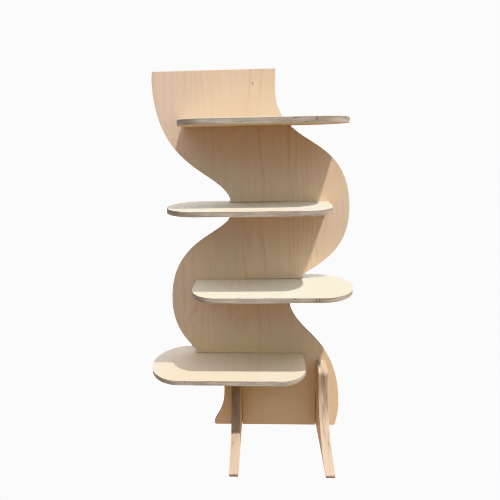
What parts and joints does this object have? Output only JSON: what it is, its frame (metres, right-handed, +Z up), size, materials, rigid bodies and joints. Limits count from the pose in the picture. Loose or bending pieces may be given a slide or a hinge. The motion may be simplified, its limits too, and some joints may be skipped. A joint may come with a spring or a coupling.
{
  "type": "spine bookshelf",
  "caption": "Knock-down birch plywood bookcase: a standing wavy back panel with rounded shelves slotted through it to alternate sides, on two long-toed feet.",
  "frame": {"origin": "on the floor, in the back panel's middle plane, midway between the feet", "axes": "+Z up, +X to the right seen from the front, the front with the shelves' deep side and the toes faces -Y"},
  "size_m": [0.646, 0.282, 1.2],
  "materials": {
    "birch_panel": "18 mm birch plywood, sanded and clear oiled, face grain upright",
    "birch_shelf": "18 mm birch plywood, sanded and clear oiled, bare ply edges",
    "birch_foot": "30 mm birch plywood, sanded and clear oiled, bare ply edges",
    "felt": "thin grey-brown felt"
  },
  "bodies": {
    "root": {"back_panel": "birch_panel", "shelf_1": "birch_shelf", "shelf_2": "birch_shelf", "shelf_3": "birch_shelf", "shelf_4": "birch_shelf", "left_foot": "birch_foot", "right_foot": "birch_foot", "left_pad": "felt", "right_pad": "felt"}
  },
  "joints": []
}
